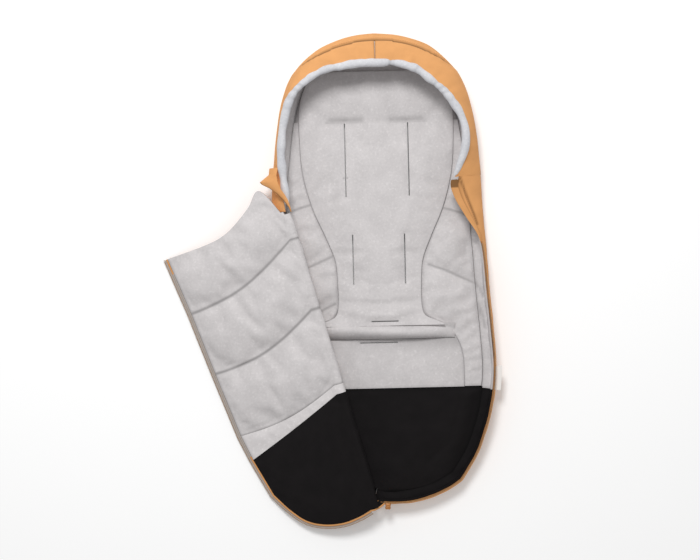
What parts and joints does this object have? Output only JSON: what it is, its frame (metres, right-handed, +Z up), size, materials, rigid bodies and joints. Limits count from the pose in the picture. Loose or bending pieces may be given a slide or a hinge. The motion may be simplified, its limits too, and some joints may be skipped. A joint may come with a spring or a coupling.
{
  "type": "stroller footmuff",
  "caption": "Padded stroller footmuff lying open: lined back with harness slots, hood with a rolled rim, zipped side wall and a quilted front cover that folds on its left edge.",
  "frame": {"origin": "middle of the back panel's outer face, which lies on the floor", "axes": "+Z up out of the back, towards a child lying in it; +Y towards the hood; +X towards the zipped side"},
  "size_m": [0.6751, 0.9904, 0.1033],
  "materials": {
    "outer_fabric": "plain woven, caramel orange",
    "wadding": "loose polyester wadding",
    "grey_fleece": "light grey melange fleece",
    "pale_fleece": "pale grey fleece",
    "black_fabric": "black plain woven",
    "zip_tape": "woven tape",
    "zip_metal": "dark painted",
    "tag": "blank woven tag"
  },
  "bodies": {
    "back": {"back_shell": "outer_fabric", "right_wall_shell": "outer_fabric", "left_panel_shell": "outer_fabric", "hood_back": "outer_fabric", "hood_band_left": "outer_fabric", "hood_band_right": "outer_fabric", "hood_flap_left": "outer_fabric", "placket": "outer_fabric", "back_wadding": "wadding", "right_wall_wadding": "wadding", "right_foot_wadding": "wadding", "left_panel_wadding": "wadding", "left_foot_wadding": "wadding", "hood_wadding_left": "wadding", "hood_wadding_right": "wadding", "seat_panel": "grey_fleece", "crotch_roll": "grey_fleece", "leg_panel": "grey_fleece", "flank_left": "grey_fleece", "flank_right": "grey_fleece", "right_wall_lining": "grey_fleece", "left_panel_lining": "grey_fleece", "fold_roll": "grey_fleece", "hood_lining": "grey_fleece", "hood_rim": "grey_fleece", "foot_panel": "black_fabric", "right_foot_lining": "black_fabric", "left_foot_lining": "black_fabric", "zip_tape_body": "zip_tape", "zip_teeth_body": "zip_metal", "zip_top_stop": "zip_metal", "zip_box": "zip_metal", "side_tag": "tag"},
    "cover": {"cover_shell": "outer_fabric", "cover_wadding": "wadding", "cover_lining": "grey_fleece", "cover_hem": "pale_fleece", "cover_foot_lining": "black_fabric", "cover_binding": "outer_fabric", "zip_tape_cover": "zip_tape", "zip_teeth_cover": "zip_metal"},
    "zip_slider": {"zip_slider": "zip_metal"},
    "zip_pull": {"zip_pull": "zip_metal"}
  },
  "joints": [
    {"name": "cover_fold", "type": "hinge", "parent": "back", "child": "cover", "pos_m": [-0.02, -0.462, 0.046], "axis": [-0.2696, 0.9627, 0.0232], "range_deg": [0, 187]},
    {"name": "zip_run", "type": "hinge", "parent": "back", "child": "zip_slider", "pos_m": [0.024, -0.2505, 0.0374], "axis": [0, 0, 1], "range_deg": [0, 38]},
    {"name": "pull_swing", "type": "hinge", "parent": "zip_slider", "child": "zip_pull", "pos_m": [0.00602, -0.47401, 0.03742], "axis": [-0.9968, 0.0802, 0], "range_deg": [0, 120]}
  ]
}
